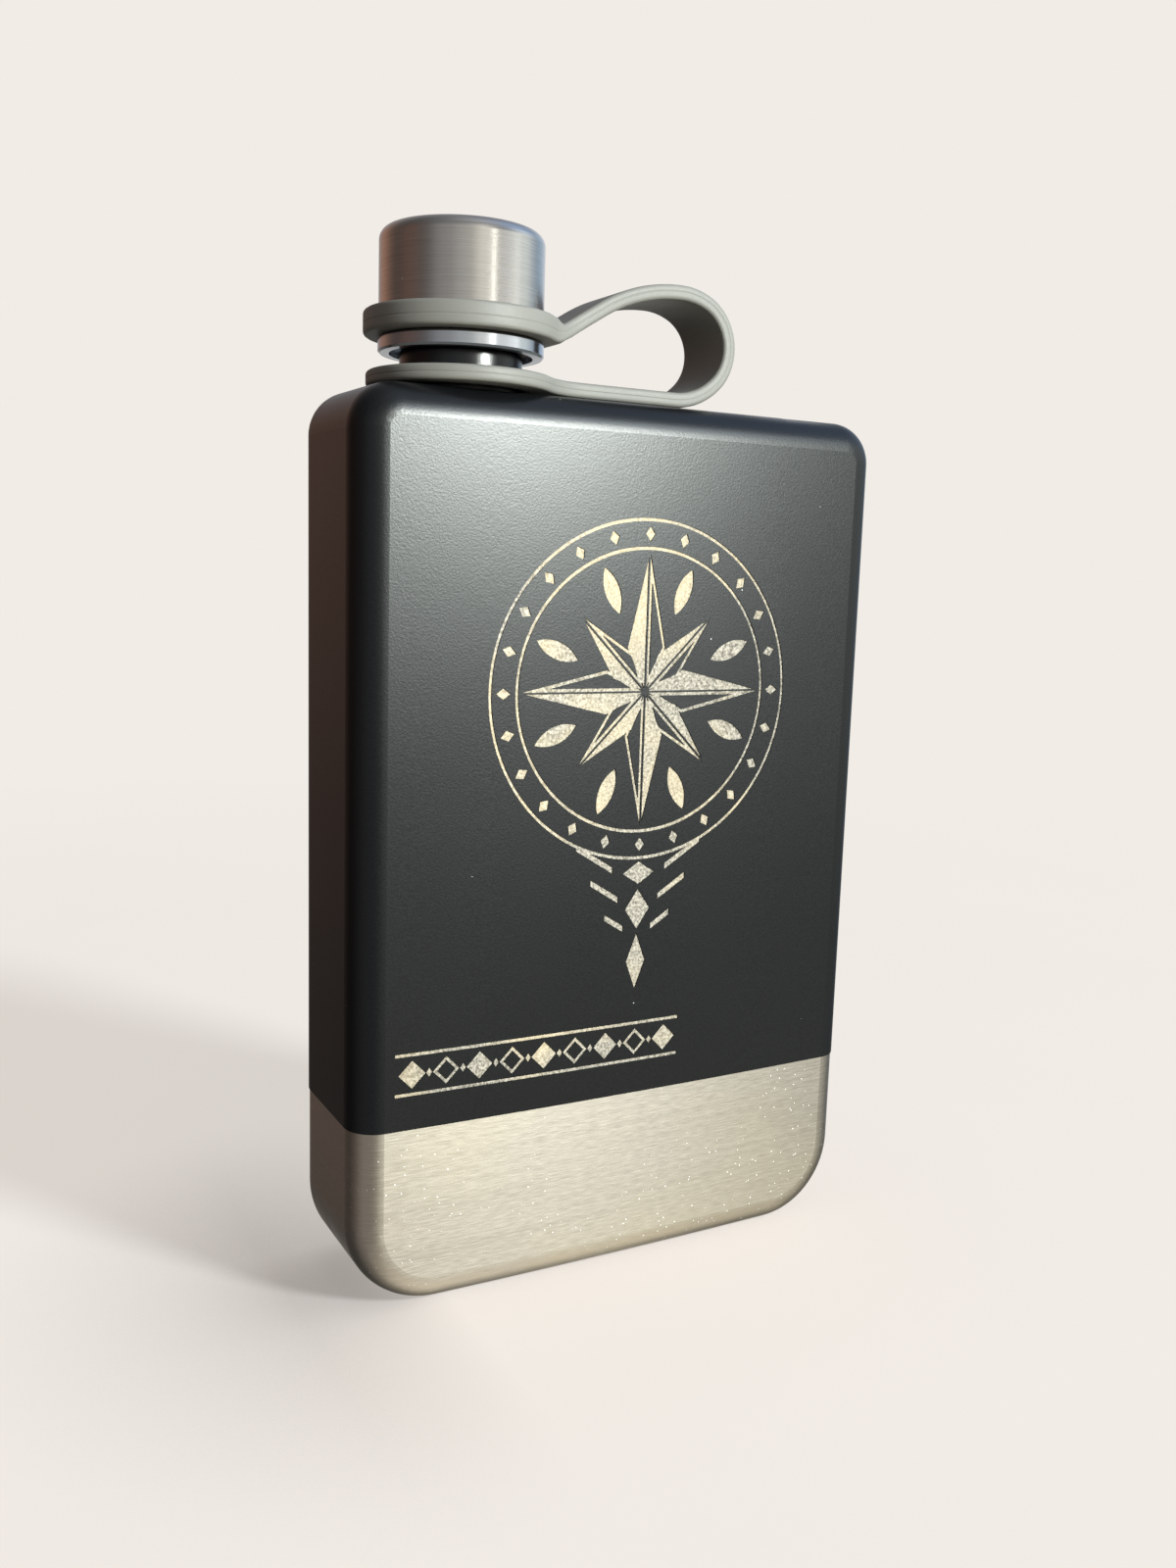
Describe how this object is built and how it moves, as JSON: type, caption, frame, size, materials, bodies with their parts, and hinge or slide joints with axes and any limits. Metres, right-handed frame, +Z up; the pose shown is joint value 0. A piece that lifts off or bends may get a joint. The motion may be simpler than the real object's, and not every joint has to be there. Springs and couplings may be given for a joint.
{
  "type": "hip flask",
  "caption": "Flat rounded steel hip flask, coated above a bare band, with a threaded neck, a steel screw cap and a looped silicone strap that keeps the cap.",
  "frame": {"origin": "middle of the flask's flat base, on the surface that it stands on", "axes": "+Z up towards the cap, +X along the width away from the neck's side, -Y out of the decorated front"},
  "size_m": [0.0882, 0.0282, 0.1571],
  "materials": {
    "body_steel": "brushed along the width, laser-etched where the coat is cut through",
    "powder_coat": "fine-grained satin powder coat, blue-black",
    "turned_steel": "turned",
    "cap_steel": "brushed around the axis",
    "insert_plastic": "moulded",
    "seal_silicone": "smooth",
    "strap_silicone": "matt moulded silicone"
  },
  "bodies": {
    "flask": {"front_shell": "body_steel", "rear_shell": "body_steel", "powder_coat": "powder_coat", "neck": "turned_steel"},
    "strap": {"strap_loop": "strap_silicone"},
    "cap_ring": {"strap_cap_ring": "strap_silicone"},
    "seal": {"seal_washer": "seal_silicone"},
    "cap": {"cap_cover": "cap_steel", "cap_core": "turned_steel", "cap_thread_insert": "insert_plastic"}
  },
  "joints": [
    {"name": "strap_swivel", "type": "hinge", "parent": "flask", "child": "strap", "pos_m": [-0.024, 0, 0.13605], "axis": [0, 0, 1], "continuous": true},
    {"name": "cap_ring_lift", "type": "slide", "parent": "strap", "child": "cap_ring", "axis": [0, 0, 1], "range_m": [0, 0.00801]},
    {"name": "cap_lift", "type": "slide", "parent": "flask", "child": "seal", "axis": [0, 0, 1], "range_m": [0, 0.00801]},
    {"name": "cap_turn", "type": "hinge", "parent": "seal", "child": "cap", "pos_m": [-0.024, 0, 0.1463], "axis": [0, 0, 1], "range_deg": [0, 900]}
  ],
  "couplings": [
    {"joint": "cap_lift", "follows": "cap_turn", "m_per_rad": 0.0005093},
    {"joint": "cap_ring_lift", "follows": "cap_turn", "m_per_rad": 0.0005093}
  ]
}
